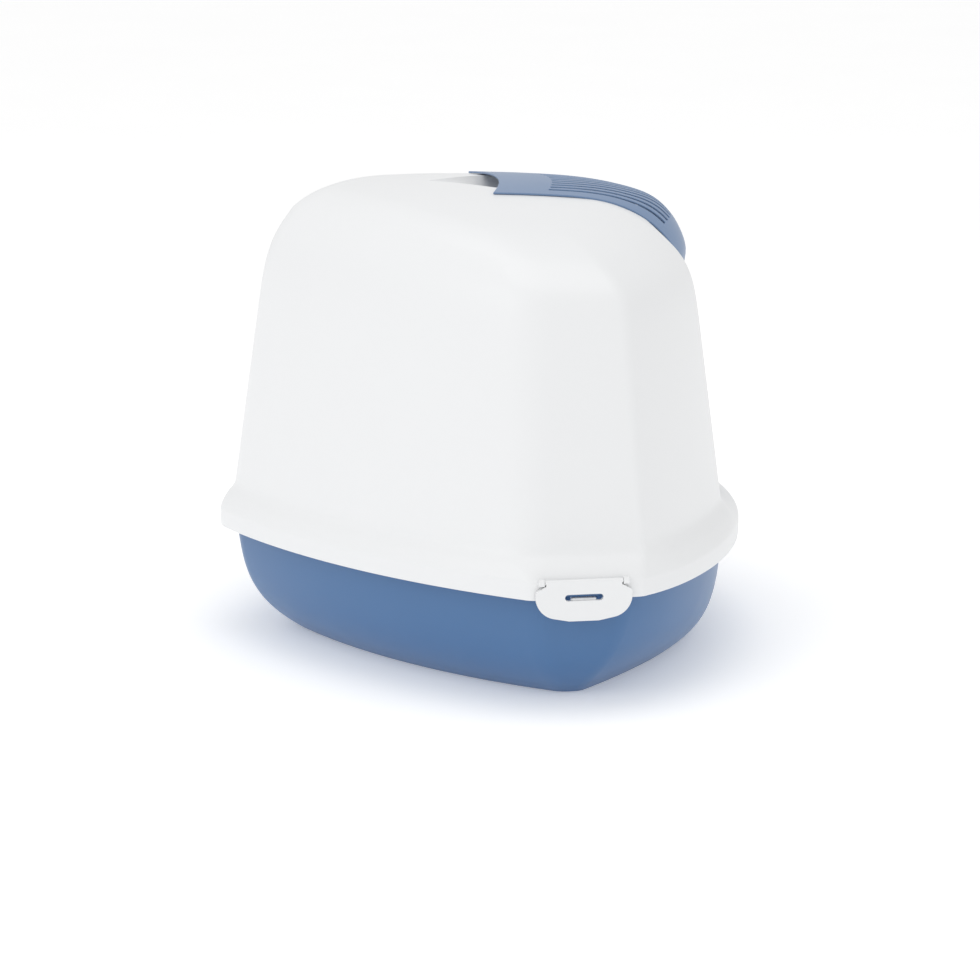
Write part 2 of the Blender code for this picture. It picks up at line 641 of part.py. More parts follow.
# ---- Tray ----
def tray_plan(height):
    rise = height / SKIRT_BOTTOM
    share = TRAY_LEAN_SHARE * (1 - rise) + (1 - TRAY_LEAN_SHARE) * max(1 - rise, 0) ** TRAY_CURVE
    return blend(TRAY_RIM, TRAY_FLOOR, share)


def build_tray():
    heights = [TRAY_RIM_BOTTOM * (i / TRAY_LEVELS) ** 1.35 for i in range(TRAY_LEVELS + 1)]
    outside = [level(tray_plan(z), z) for z in heights]
    rim_plan = inset(tray_plan(TRAY_RIM_BOTTOM), -TRAY_RIM_REACH)
    rim = [level(rim_plan, TRAY_RIM_BOTTOM), level(rim_plan, TRAY_RIM_TOP)]
    inside = []
    for z in reversed(heights):
        steepness = min(1.0, z / 0.04)
        lift = TRAY_WALL * (1 - 0.75 * steepness)
        top = TRAY_RIM_TOP - TRAY_RIM_BOTTOM if z == heights[-1] else lift
        inside.append(level(inset(tray_plan(z), TRAY_WALL), z + top))
    tray = new_object("tray", loft(outside + rim + inside), BLUE_PLASTIC)
    for side, tag in SIDES:
        lug = side_box(side, (LUG_ROOT, LUG_OUT), (LATCH_Y - LUG_HALF_WIDTH, LATCH_Y + LUG_HALF_WIDTH),
                       (TRAY_RIM_BOTTOM + 0.0002, TRAY_RIM_TOP - 0.0002))
        combine(tray, "UNION", tool("catch_lug_" + tag, lug))
    smooth(tray)
    return tray


def clear_scene():
    for obj in list(bpy.data.objects):
        bpy.data.objects.remove(obj, do_unlink=True)


clear_scene()
build_tray()
build_hood()
build_vent_cover()
build_filter()
build_door_frame()
build_flap()
for latch_side, latch_tag in SIDES:
    build_latch(latch_side, latch_tag)
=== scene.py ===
"""Looks of the corner cat litter box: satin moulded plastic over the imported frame.

Metres, +Z up. The entrance faces -Y and the back corner +Y; left and right mirror each other.
"""
from math import cos, pi, radians, sin, sqrt

import bmesh
import bpy
from mathutils import Matrix, Vector


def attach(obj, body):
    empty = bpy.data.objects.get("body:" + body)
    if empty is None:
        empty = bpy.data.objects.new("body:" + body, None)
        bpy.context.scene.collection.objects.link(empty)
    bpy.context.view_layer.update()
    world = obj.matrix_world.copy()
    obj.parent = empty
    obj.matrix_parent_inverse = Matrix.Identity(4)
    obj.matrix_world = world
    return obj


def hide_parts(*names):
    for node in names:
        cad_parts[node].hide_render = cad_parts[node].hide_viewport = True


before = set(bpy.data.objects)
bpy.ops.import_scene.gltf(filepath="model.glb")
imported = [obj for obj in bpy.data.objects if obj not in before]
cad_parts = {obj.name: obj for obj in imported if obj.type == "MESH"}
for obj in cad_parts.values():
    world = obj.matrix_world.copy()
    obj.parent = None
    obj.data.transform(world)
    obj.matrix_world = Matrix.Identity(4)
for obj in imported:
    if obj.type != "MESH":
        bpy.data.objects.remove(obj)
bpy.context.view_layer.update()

# ---- Sizes ----
GAP = 0.0004
SKIRT_BOTTOM = 0.095
LEDGE_TOP = 0.130             # height that the wall's lean is measured from
SHOULDER_START = 0.328
HOOD_WALL = 0.0026
CROWN_HEIGHT = 0.394
CROWN_MIDDLE = 0.03
CROWN_RADIUS_ACROSS = 0.80
CROWN_RADIUS_ALONG = 1.14
SHOULDER_START_ANGLE = radians(8)
SHOULDER_BACK = 0.066
SHOULDER_FRONT = 0.086

# Plan outlines: arcs from the middle of the back round the left side. "turn_" values are the
# directions, in degrees, that an outline faces where an arc ends, and "r_" values its radii.
RIM = dict(back=0.2275, side=0.2925, front=-0.2275,
           turn_back=114, turn_wall=144, turn_crease=213, turn_ease=222, turn_eased=231,
           turn_slant=249, turn_front=251, r_back=0.045, r_bend=0.016, r_crease=0.016,
           r_ease=0.170, r_eased=0.235, r_corner=0.40, r_front=0.40)
WALL_BASE = dict(back=0.2143, side=0.2765, front=-0.1950,
                 turn_back=114, turn_wall=142, turn_crease=226, turn_ease=228, turn_eased=230,
                 turn_slant=249, turn_front=269.9, r_back=0.050, r_bend=0.055, r_crease=0.010,
                 r_ease=0.36, r_eased=0.36, r_corner=0.022, r_front=65.0)
WALL_TOP = dict(WALL_BASE, back=0.1850, side=0.2485, front=-0.1680, r_back=0.055, r_bend=0.060,
                r_crease=0.018, r_ease=0.30, r_eased=0.30, r_corner=0.026, r_front=64.0)
TRAY_RIM = dict(RIM, back=0.2130, side=0.2780, front=-0.2130, r_back=0.031, r_bend=0.034,
                r_crease=0.026, r_ease=0.156, r_eased=0.221, r_corner=0.386, r_front=0.386)
TRAY_FLOOR = dict(RIM, back=0.1580, side=0.2325, front=-0.1910,
                  turn_back=115, turn_wall=146, turn_crease=222, turn_ease=226, turn_eased=230,
                  r_back=0.030, r_bend=0.020, r_crease=0.012, r_ease=0.60, r_eased=0.80,
                  r_corner=0.175, r_front=0.175)
STRETCH_STEPS = (8, 26, 16, 4, 12, 20, 6, 10)

# The skirt's rounded lower edge, (inset, height), then the ledge, (share of the way in, height)
SKIRT_PROFILE = ((0.0013, 0.0950), (0.0005, 0.0952), (0.0001, 0.0957), (0.0, 0.0964), (0.0, 0.1030),
                 (0.0, 0.1082))
LEDGE_PROFILE = ((0.010, 0.1097), (0.040, 0.1110), (0.10, 0.1127), (0.20, 0.1152), (0.34, 0.1184),
                 (0.50, 0.1215), (0.66, 0.1242), (0.79, 0.1263), (0.88, 0.1281), (0.945, 0.1300),
                 (0.985, 0.1322), (1.0, 0.1350))
WALL_LEVELS = 44
SHOULDER_LEVELS = 22
EASED = (0.292, 0.372)        # heights between which the wall eases into the shoulder
EASING_PASSES = 40
CROWN_RINGS = (0.90, 0.78, 0.66, 0.54, 0.42, 0.30, 0.18, 0.07)

TRAY_WALL = 0.0025
TRAY_RIM_BOTTOM = 0.0975
TRAY_RIM_TOP = 0.1025
TRAY_RIM_REACH = 0.0100
TRAY_LEAN_SHARE = 0.22
TRAY_CURVE = 3.5
TRAY_LEVELS = 26

LATCH_Y = -0.0425
LATCH_HALF_WIDTH = 0.039
LATCH_BOTTOM = 0.078
LATCH_PIVOT_X = 0.2949
LATCH_PIVOT_Z = 0.1105
LATCH_BARREL_RADIUS = 0.0019
LATCH_BARREL_HALF = 0.0315
LATCH_PIN_RADIUS = 0.0008
LATCH_PLATE = (0.2934, 0.2968)
LATCH_SHOULDER = 0.1035
LATCH_SLOPE = 0.004
LATCH_CORNER = 0.018
LATCH_BOW = 0.0025
SLOT_HALF_WIDTH = 0.0155
SLOT_HEIGHTS = (0.0950, 0.1003)
HOOK_TIP = 0.2893
HOOK_HALF_WIDTH = 0.010
HOOK_HEIGHTS = (0.0930, 0.0966)
LUG = (0.2800, 0.2921)
LUG_HALF_WIDTH = 0.021
NOTCH = (0.284, 0.30)
NOTCH_HALF_WIDTH = 0.025
NOTCH_TOP = 0.1045
EAR = (0.2910, 0.2970)
EAR_WIDTH = 0.0045
EAR_ROUNDING = 0.0012
EAR_HEIGHTS = (LATCH_PIVOT_Z - 0.0030, LATCH_PIVOT_Z + 0.0022)
LATCH_PIN_HALF = LATCH_BARREL_HALF + EAR_WIDTH * 0.7
BORE_FIT = 0.0003

DOOR_HALF_WIDTH = 0.100
DOOR_LOW = 0.142
DOOR_HIGH = 0.307
DOOR_LOW_RADIUS = 0.034
DOOR_HIGH_RADIUS = 0.006
FRAME_FIT = 0.0006
FRAME_WALL = 0.0026
FRAME_FLANGE = 0.008
FRAME_THICKNESS = 0.0024
FRAME_BACKING = 0.0028
FRAME_INNER_END = -0.150
FLAP_Y = -0.163
FLAP_PIVOT_Z = 0.2965
FLAP_THICKNESS = 0.0026
FLAP_BARREL_RADIUS = 0.0034
FLAP_PIN_RADIUS = 0.0018
FLAP_SIDE_GAP = 0.0016
FLAP_LOW_GAP = 0.0030
FLAP_PULL_HALF = 0.030
FLAP_PULL_PROUD = 0.004
FLAP_PULL_HEIGHTS = (0.012, 0.015)
FLAP_PIN_SUNK = 0.011

STRIP_HALF_WIDTH = 0.073
STRIP_THICKNESS = 0.0018
STRIP_MARGINS = (STRIP_HALF_WIDTH, 0.0685, 0.0635)
# The strip's top, as (y, z) stations from the grip forwards and down: along its straight sides, which
# lie on the hood, and along its middle, where it arches clear of the hood.
STRIP_EDGE = ((-0.0035, 0.3923), (-0.0317, 0.3911), (-0.0567, 0.3895), (-0.0814, 0.3873),
              (-0.1055, 0.3825), (-0.1281, 0.3731), (-0.1477, 0.3585), (-0.1629, 0.3393),
              (-0.1710, 0.3165))
STRIP_CREST = ((-0.0175, 0.3965), (-0.0650, 0.3947), (-0.1080, 0.3912), (-0.1435, 0.3828),
               (-0.1585, 0.3757), (-0.1680, 0.3667), (-0.1750, 0.3577), (-0.1820, 0.3427),
               (-0.1840, 0.3310), (-0.1745, 0.3165))
STRIP_ROWS = (13, 26, 13)     # before, along and after the vent slots
SCOOP_STATIONS = ((0.0410, 0.002, 0.001), (0.0140, 0.0235, 0.009), (-0.0100, 0.0430, 0.019),
                  (-0.0260, 0.0510, 0.025), (-0.0460, 0.0500, 0.025), (-0.0560, 0.0380, 0.019),
                  (-0.0600, 0.0200, 0.010))
VENT_COUNT = 13
VENT_PITCH = 0.0096
VENT_WIDTH = 0.0040
VENT_RUN = (0.22, 0.75)       # share of the way along the strip where the vent slots start and end

FILTER_TILT = radians(20)
FILTER_CENTRE = Vector((0.0, -0.108, 0.3600))
FILTER_HALF = Vector((0.057, 0.038, 0.003))
HOLDER_WALL = 0.002
HOLDER_RISE = 0.0085
COLLAR_WALL = 0.002
COLLAR_DEPTH = 0.008
WINDOW_HALF = Vector((0.054, 0.034))
GRID_CELLS = (7, 5)
GRID_RIB = 0.0026

SIDES = ((-1, "left"), (1, "right"))


# ---- Outlines ----
def blend(low, high, share):
    return {key: low[key] + (high[key] - low[key]) * share for key in low}


def inset(plan, distance):
    moved = dict(plan)
    for key in plan:
        if key in ("back", "side") or key.startswith("r_"):
            moved[key] = plan[key] - distance
    moved["front"] = plan["front"] + distance
    return moved


def trace(start_point, arcs, steps):
    """Evenly spaced points along joined arcs (start, end, radius), without the first point."""
    lengths = [r * (end - start) for start, end, r in arcs]
    points = []
    for i in range(1, steps + 1):
        left = sum(lengths) * i / steps
        point = Vector(start_point)
        for (start, end, r), length in zip(arcs, lengths):
            angle = start + (end - start) * min(left / length, 1.0)
            point += Vector((cos(angle) - cos(start), sin(angle) - sin(start))) * r
            left -= length
            if left <= 1e-12:
                break
        points.append(point)
    return points


def outline(plan):
    """Points of a closed plan outline, from the middle of the back round the left side."""
    turns = {key[5:]: radians(value) for key, value in plan.items() if key.startswith("turn_")}
    upright, ahead = pi, 1.5 * pi
    taken = plan["r_back"] * cos(turns["back"]) + plan["r_bend"] * (-1 - cos(turns["wall"]))
    r_wall = (-plan["side"] - taken) / (cos(turns["wall"]) - cos(turns["back"]))
    rear = ([(pi / 2, turns["back"], plan["r_back"])], [(turns["back"], turns["wall"], r_wall)],
            [(turns["wall"], upright, plan["r_bend"])])
    crease = (upright, turns["crease"], plan["r_crease"])
    ease = [(turns["crease"], turns["ease"], plan["r_ease"]),
            (turns["ease"], turns["eased"], plan["r_eased"])]
    corner = (turns["slant"], turns["front"], plan["r_corner"])
    front = (turns["front"], ahead, plan["r_front"])
    across = sum(r * (cos(end) - cos(start)) for start, end, r in [crease, corner, front] + ease)
    r_slant = (plan["side"] - across) / (cos(turns["slant"]) - cos(turns["eased"]))
    fore = [crease], ease + [(turns["eased"], turns["slant"], r_slant)], [corner], [front]
    drop = sum(r * (sin(end) - sin(start)) for arcs in rear + fore for start, end, r in arcs)
    side_length = plan["back"] - plan["front"] + drop
    half = [Vector((0.0, plan["back"]))]
    for arcs, steps in zip(rear, STRETCH_STEPS[:3]):
        half += trace(half[-1], arcs, steps)
    bend, steps = half[-1], STRETCH_STEPS[3]
    half += [bend - Vector((0, side_length * i / steps)) for i in range(1, steps + 1)]
    for arcs, steps in zip(fore, STRETCH_STEPS[4:]):
        half += trace(half[-1], arcs, steps)
    half[-1] = Vector((0.0, plan["front"]))
    return half + [Vector((-p.x, p.y)) for p in reversed(half[1:-1])]


def level(plan, height):
    return [p.to_3d() + Vector((0, 0, height)) for p in outline(plan)]


def wall_plan(height):
    share = (height - LEDGE_TOP) / (SHOULDER_START - LEDGE_TOP)
    return blend(WALL_BASE, WALL_TOP, share)


def crown(x, y):
    return (CROWN_HEIGHT - x * x / (2 * CROWN_RADIUS_ACROSS)
            - (y - CROWN_MIDDLE) ** 2 / (2 * CROWN_RADIUS_ALONG))


def hood_rings(depth):
    """Rings of the hood's skin, depth inside its outer face, from the skirt's edge to the crown."""
    rings = [level(inset(RIM, depth + inwards), height) for inwards, height in SKIRT_PROFILE]
    for share, height in LEDGE_PROFILE:
        low, high = outline(inset(RIM, depth)), outline(inset(wall_plan(height), depth))
        height -= depth * 0.8 * sqrt(max(1 - share, 0.0))
        rings.append([a.lerp(b, share).to_3d() + Vector((0, 0, height)) for a, b in zip(low, high)])
    top_of_ledge = LEDGE_PROFILE[-1][1]
    for i in range(1, WALL_LEVELS + 1):
        height = top_of_ledge + (SHOULDER_START - top_of_ledge) * i / WALL_LEVELS
        rings.append(level(inset(wall_plan(height), depth), height - depth * 0.5 * i / WALL_LEVELS))
    base = rings[-1]
    start, back, front = base[0].z, base[0].y, base[sum(STRETCH_STEPS)].y
    middle, half_x, half_y = (back + front) / 2, max(p.x for p in base), (back - front) / 2
    first_sin = sin(SHOULDER_START_ANGLE)
    for i in range(1, SHOULDER_LEVELS + 1):
        angle = SHOULDER_START_ANGLE + (pi / 2 - SHOULDER_START_ANGLE) * i / SHOULDER_LEVELS
        run = cos(SHOULDER_START_ANGLE) - cos(angle)
        rise = (sin(angle) - first_sin) / (1 - first_sin)
        ring = []
        for point in base:
            forward = (back - point.y) / (back - front)
            reach = (SHOULDER_BACK + (SHOULDER_FRONT - SHOULDER_BACK) * forward - depth) * run
            x = point.x * (1 - reach / half_x)
            y = middle + (point.y - middle) * (1 - reach / half_y)
            ring.append(Vector((x, y, start + (crown(x, y) - depth - start) * rise)))
        rings.append(ring)
    edge = rings[-1]
    for share in CROWN_RINGS:
        places = [(p.x * share, middle + (p.y - middle) * share) for p in edge]
        rings.append([Vector((x, y, crown(x, y) - depth)) for x, y in places])
    for _ in range(EASING_PASSES):
        before = list(rings)
        for i in range(len(SKIRT_PROFILE) + len(LEDGE_PROFILE), len(rings) - 1):
            if EASED[0] < before[i][0].z < EASED[1]:
                rings[i] = [(a + 2 * b + c) / 4 for a, b, c in zip(*before[i - 1:i + 2])]
    return rings


def tray_plan(height):
    rise = height / SKIRT_BOTTOM
    share = TRAY_LEAN_SHARE * (1 - rise) + (1 - TRAY_LEAN_SHARE) * max(1 - rise, 0) ** TRAY_CURVE
    return blend(TRAY_RIM, TRAY_FLOOR, share)


def panel_y(z):
    """Where the flat entrance panel's outer face is at a height."""
    share = (z - LEDGE_TOP) / (SHOULDER_START - LEDGE_TOP)
    return WALL_BASE["front"] + (WALL_TOP["front"] - WALL_BASE["front"]) * share


def door_outline(grow, steps=12):
    half, low, high = DOOR_HALF_WIDTH + grow, DOOR_LOW - grow, DOOR_HIGH + grow
    r_low, r_high = DOOR_LOW_RADIUS + grow, max(DOOR_HIGH_RADIUS + grow, 0.0015)
    corners = ((half - r_low, low + r_low, r_low, -90), (half - r_high, high - r_high, r_high, 0),
               (r_high - half, high - r_high, r_high, 90), (r_low - half, low + r_low, r_low, 180))
    points = []
    for x, z, r, start in corners:
        for i in range(steps + 1):
            angle = radians(start + 90 * i / steps)
            points.append((x + r * cos(angle), z + r * sin(angle)))
    return points


# ---- Mesh helpers ----
def finished(name, bm, smooth_angle=35, closed=True):
    if closed:
        bmesh.ops.recalc_face_normals(bm, faces=bm.faces)
    mesh = bpy.data.meshes.new(name)
    bm.to_mesh(mesh)
    bm.free()
    obj = bpy.data.objects.new(name, mesh)
    bpy.context.scene.collection.objects.link(obj)
    mesh.shade_smooth()
    mesh.set_sharp_from_angle(angle=radians(smooth_angle))
    return obj


def loft(rings, closed=False):
    """A skin through rings of equally many points, capped at both ends or joined end to end."""
    bm = bmesh.new()
    count = len(rings[0])
    verts = bmesh.ops.create_circle(bm, segments=count, radius=1.0)["verts"]
    for vert, point in zip(verts, rings[0]):
        vert.co = point
    edges = first = [bm.edges.get((verts[i - 1], verts[i])) for i in range(count)]
    for ring in rings[1:]:
        made = bmesh.ops.extrude_edge_only(bm, edges=edges)["geom"]
        new = {item for item in made if isinstance(item, bmesh.types.BMVert)}
        verts = [next(e.other_vert(v) for e in v.link_edges if e.other_vert(v) in new) for v in verts]
        for vert, point in zip(verts, ring):
            vert.co = point
        edges = [bm.edges.get((verts[i - 1], verts[i])) for i in range(count)]
    if closed:
        bmesh.ops.bridge_loops(bm, edges=first + edges)
    else:
        bmesh.ops.holes_fill(bm, edges=[e for e in bm.edges if e.is_boundary])
    return bm


def box(low, high):
    bm = bmesh.new()
    low, high = Vector(low), Vector(high)
    bmesh.ops.create_cube(bm, size=1.0, matrix=Matrix.LocRotScale((low + high) / 2, None, high - low))
    return bm


def side_box(side, x_range, y_range, z_range):
    """A box on the left (side -1) or right (side 1), with distances from the middle plane."""
    near, far = sorted(side * x for x in x_range)
    return box((near, y_range[0], z_range[0]), (far, y_range[1], z_range[1]))


def rod(start, end, radius, segments=32):
    start, end = Vector(start), Vector(end)
    turn = (end - start).to_track_quat("Z", "Y")
    bm = bmesh.new()
    bmesh.ops.create_cone(bm, cap_ends=True, segments=segments, radius1=radius, radius2=radius,
                          depth=(end - start).length,
                          matrix=Matrix.LocRotScale((start + end) / 2, turn, None))
    return bm


def prism(points, run):
    """A flat outline pushed along run."""
    bm = bmesh.new()
    face = bm.faces.new([bm.verts.new(p) for p in points])
    made = bmesh.ops.extrude_face_region(bm, geom=[face])["geom"]
    bmesh.ops.translate(bm, vec=run, verts=[v for v in made if isinstance(v, bmesh.types.BMVert)])
    return bm


def tilted(bm):
    """Turns a mesh made flat about the origin into the filter's place."""
    place = Matrix.Translation(FILTER_CENTRE) @ Matrix.Rotation(FILTER_TILT, 4, "X")
    bmesh.ops.transform(bm, matrix=place, verts=bm.verts)
    return bm


def carve(obj, *steps):
    """Cuts ("DIFFERENCE") or adds ("UNION") blocks, then keeps the result as obj's own mesh."""
    tools = []
    for operation, block in steps:
        tool = block if isinstance(block, bpy.types.Object) else finished("block", block)
        modifier = obj.modifiers.new("carve", "BOOLEAN")
        modifier.operation = operation
        modifier.solver = "EXACT"
        modifier.object = tool
        tools.append(tool)
    bpy.context.view_layer.update()
    evaluated = obj.evaluated_get(bpy.context.evaluated_depsgraph_get())
    mesh = bpy.data.meshes.new_from_object(evaluated)
    obj.modifiers.clear()
    obj.data = mesh
    mesh.shade_smooth()
    mesh.set_sharp_from_angle(angle=radians(35))
    for tool in tools:
        bpy.data.objects.remove(tool)
    return obj


def thicken(sheet, thickness):
    """Gives a sheet its wall, behind the side that it faces."""
    wall = sheet.modifiers.new("moulded_wall", "SOLIDIFY")
    wall.thickness = thickness
    wall.offset = -1.0
    wall.use_even_offset = True
    return sheet


def round_edges(obj, width, segments=3, angle=40):
    bevel = obj.modifiers.new("rounded_edges", "BEVEL")
    bevel.width = width
    bevel.segments = segments
    bevel.limit_method = "ANGLE"
    bevel.angle_limit = radians(angle)
    bevel.harden_normals = True
    return obj


# ---- Tray ----
def make_tray():
    heights = [TRAY_RIM_BOTTOM * (i / TRAY_LEVELS) ** 1.35 for i in range(TRAY_LEVELS + 1)]
    rings = [level(tray_plan(z), z) for z in heights]
    reach = inset(tray_plan(TRAY_RIM_BOTTOM), -TRAY_RIM_REACH)
    for inwards, z in ((0.0008, TRAY_RIM_BOTTOM), (0.0, TRAY_RIM_BOTTOM + 0.0008),
                       (0.0, TRAY_RIM_TOP - 0.0012), (0.0004, TRAY_RIM_TOP - 0.0004),
                       (0.0012, TRAY_RIM_TOP)):
        rings.append(level(inset(reach, inwards), z))
    inner_top = inset(tray_plan(TRAY_RIM_BOTTOM), TRAY_WALL)
    rings.append(level(inset(inner_top, -0.0012), TRAY_RIM_TOP))
    rings.append(level(inset(inner_top, -0.0003), TRAY_RIM_TOP - 0.0005))
    for z in reversed(heights):
        steepness = min(1.0, z / 0.04)
        lift = TRAY_WALL * (1 - 0.75 * steepness)
        rings.append(level(inset(tray_plan(z), TRAY_WALL), z + lift))
    tray = finished("litter_tray", loft(rings), 30)
    span = LATCH_Y - LUG_HALF_WIDTH, LATCH_Y + LUG_HALF_WIDTH
    heights = TRAY_RIM_BOTTOM + 0.0002, TRAY_RIM_TOP - 0.0002
    return carve(tray, *[("UNION", side_box(side, LUG, span, heights)) for side, _ in SIDES])


# ---- Hood ----
def softened(points, passes=2):
    """A table of stations with its corners cut, so that what is lofted through it is smooth."""
    points = [Vector(p) for p in points]
    for _ in range(passes):
        cut = [points[0]]
        for a, b in zip(points, points[1:]):
            cut += [a.lerp(b, 0.25), a.lerp(b, 0.75)]
        points = cut + [points[-1]]
    return points


def scoop(grow, segments=48):
    """The grip scoop in the top, or the cup around it when grown by the wall."""
    stations = softened(SCOOP_STATIONS)
    rings = []
    for i, (y, half, depth) in enumerate(stations):
        y += grow if i == 0 else -grow if i == len(stations) - 1 else 0
        centre = crown(0, y) + 0.004
        angles = [2 * pi * k / segments for k in range(segments)]
        rings.append([Vector(((half + grow) * cos(a), y, centre + (depth + grow + 0.004) * sin(a)))
                      for a in angles])
    return loft(rings)


def door_block(grow, outside, inside):
    """A block of the entrance's outline that leans with the panel, between two depths below it."""
    return loft([[Vector((x, panel_y(z) + depth, z)) for x, z in door_outline(grow)]
                 for depth in (outside, inside)])


def latch_rod(side, half, radius):
    return rod((side * LATCH_PIVOT_X, LATCH_Y - half, LATCH_PIVOT_Z),
               (side * LATCH_PIVOT_X, LATCH_Y + half, LATCH_PIVOT_Z), radius)


def tilted_block(low, high):
    return tilted(box(low, high))


def make_hood():
    cavity_rings = hood_rings(HOOD_WALL)
    cavity_rings[0] = level(inset(RIM, HOOD_WALL), SKIRT_BOTTOM - 0.005)
    cavity_rings[1:4] = [level(inset(RIM, HOOD_WALL), SKIRT_BOTTOM + 0.001 * i) for i in range(3)]
    cavity = finished("cavity", loft(cavity_rings))
    reach = FILTER_HALF.x + HOLDER_WALL + GAP, FILTER_HALF.y + HOLDER_WALL + GAP
    floor = FRAME_THICKNESS + GAP
    carve(cavity,
          ("DIFFERENCE", scoop(HOOD_WALL)),
          ("DIFFERENCE", tilted_block((-reach[0] - COLLAR_WALL, -reach[1] - COLLAR_WALL, -COLLAR_DEPTH),
                                      (reach[0] + COLLAR_WALL, reach[1] + COLLAR_WALL, 0.06))),
          ("DIFFERENCE", door_block(FRAME_FLANGE + FRAME_BACKING, -0.02, floor + FRAME_BACKING)))
    steps = [("DIFFERENCE", cavity), ("DIFFERENCE", scoop(0.0)),
             ("DIFFERENCE", tilted_block((-reach[0], -reach[1], -0.03),
                                         (reach[0], reach[1], HOLDER_RISE + 0.0006))),
             ("DIFFERENCE", tilted_block((-WINDOW_HALF.x, -WINDOW_HALF.y, 0.0),
                                         (WINDOW_HALF.x, WINDOW_HALF.y, 0.08))),
             ("DIFFERENCE", prism([(x, -0.30, z) for x, z in door_outline(0.0)], (0, 0.18, 0))),
             ("DIFFERENCE", door_block(FRAME_FLANGE + GAP, -0.02, floor))]
    for side, _ in SIDES:
        for end in (-1, 1):
            inner = LATCH_Y + end * (LATCH_BARREL_HALF + GAP)
            span = sorted((inner, inner + end * EAR_WIDTH))
            ear = side_box(side, EAR, span, EAR_HEIGHTS)
            corners = [e for e in ear.edges if abs(e.verts[0].co.y - e.verts[1].co.y) > EAR_WIDTH / 2]
            bmesh.ops.bevel(ear, geom=corners, offset=EAR_ROUNDING, affect="EDGES", segments=4,
                            profile=0.5, material=-1)
            steps.append(("UNION", ear))
        steps.append(("DIFFERENCE",
                      latch_rod(side, LATCH_PIN_HALF + GAP, LATCH_PIN_RADIUS + BORE_FIT)))
        steps.append(("DIFFERENCE", side_box(side, NOTCH,
                                             (LATCH_Y - NOTCH_HALF_WIDTH, LATCH_Y + NOTCH_HALF_WIDTH),
                                             (SKIRT_BOTTOM - 0.01, NOTCH_TOP))))
    return carve(finished("hood_shell", loft(hood_rings(0.0))), *steps)


# ---- Vent strip ----
def along(curve, shares):
    """Points at the given shares of the way along a curve."""
    total = sum((b - a).length for a, b in zip(curve, curve[1:]))
    points = []
    for share in shares:
        left = total * share
        for a, b in zip(curve, curve[1:]):
            length = (b - a).length
            if left <= length or b == curve[-1]:
                break
            left -= length
        points.append(a.lerp(b, left / length))
    return points


def make_vent_strip():
    """An arched sheet: flush with the hood along its sides, clear of it along the middle."""
    edge, crest = softened(STRIP_EDGE, 4), softened(STRIP_CREST, 4)
    columns = [-x for x in STRIP_MARGINS]
    for i in range(VENT_COUNT):
        centre = (i - (VENT_COUNT - 1) / 2) * VENT_PITCH
        columns += [centre - VENT_WIDTH / 2, centre + VENT_WIDTH / 2]
    columns += STRIP_MARGINS[::-1]
    before, slotted, after = STRIP_ROWS
    start, end = VENT_RUN
    shares = [start * k / before for k in range(before)]
    shares += [start + (end - start) * k / slotted for k in range(slotted)]
    shares += [end + (1 - end) * k / after for k in range(after + 1)]
    sides, middle = along(edge, shares), along(crest, shares)
    bm = bmesh.new()
    rows = before + slotted + after
    grid = bmesh.ops.create_grid(bm, x_segments=len(columns) - 1, y_segments=rows, size=1.0)["verts"]
    grid.sort(key=lambda v: (round(v.co.x, 4), round(v.co.y, 4)))
    for i, x in enumerate(columns):
        arch = 1 - (x / STRIP_HALF_WIDTH) ** 2
        for vert, a, b in zip(grid[i * (rows + 1):(i + 1) * (rows + 1)], sides, middle):
            vert.co = (x, *a.lerp(b, arch))
    first = len(STRIP_MARGINS)
    slot_columns = range(first, first + 2 * VENT_COUNT, 2)
    slots = []
    for face in bm.faces:
        left = min(v.co.x for v in face.verts)
        column = columns.index(min(columns, key=lambda x: abs(x - left)))
        row = min(grid.index(v) % (rows + 1) for v in face.verts)
        if column in slot_columns and before <= row < before + slotted:
            slots.append(face)
    bmesh.ops.delete(bm, geom=slots, context="FACES")
    bm.normal_update()
    if sum(face.normal.z for face in bm.faces) < 0:
        bmesh.ops.reverse_faces(bm, faces=bm.faces)
    strip = thicken(finished("vent_strip", bm, 40, False), STRIP_THICKNESS)
    return round_edges(strip, 0.0006, 3, 50)


# ---- Filter ----
def make_filter():
    pad = bmesh.new()
    bmesh.ops.create_cube(pad, size=1.0, matrix=Matrix.Diagonal((*(FILTER_HALF * 2), 1.0)))
    bmesh.ops.bevel(pad, geom=pad.edges, offset=0.0012, affect="EDGES", segments=4, profile=0.5,
                    material=-1)
    pad = finished("carbon_foam_pad", tilted(pad), 60)

    inner = FILTER_HALF + Vector((GAP, GAP, GAP))
    bm = bmesh.new()
    bmesh.ops.create_grid(bm, x_segments=GRID_CELLS[0], y_segments=GRID_CELLS[1], size=1.0,
                          matrix=Matrix.Diagonal((inner.x, inner.y, 1.0, 1.0)))
    bmesh.ops.translate(bm, vec=(0, 0, -inner.z), verts=bm.verts)
    rim = [e for e in bm.edges if e.is_boundary]
    cells = list(bm.faces)
    bmesh.ops.inset_individual(bm, faces=cells, thickness=GRID_RIB / 2, use_even_offset=True)
    bmesh.ops.delete(bm, geom=cells, context="FACES")
    wall = bmesh.ops.extrude_edge_only(bm, edges=rim)["geom"]
    bmesh.ops.translate(bm, vec=(0, 0, inner.z + HOLDER_RISE),
                        verts=[v for v in wall if isinstance(v, bmesh.types.BMVert)])
    bmesh.ops.recalc_face_normals(bm, faces=bm.faces)
    floor = [f for f in bm.faces if abs(f.normal.z) > 0.5]
    if floor[0].normal.z < 0:
        bmesh.ops.reverse_faces(bm, faces=bm.faces)
    holder = thicken(finished("filter_holder_shell", tilted(bm), 30, False), HOLDER_WALL)
    round_edges(holder, 0.0004, 2)
    return pad, holder


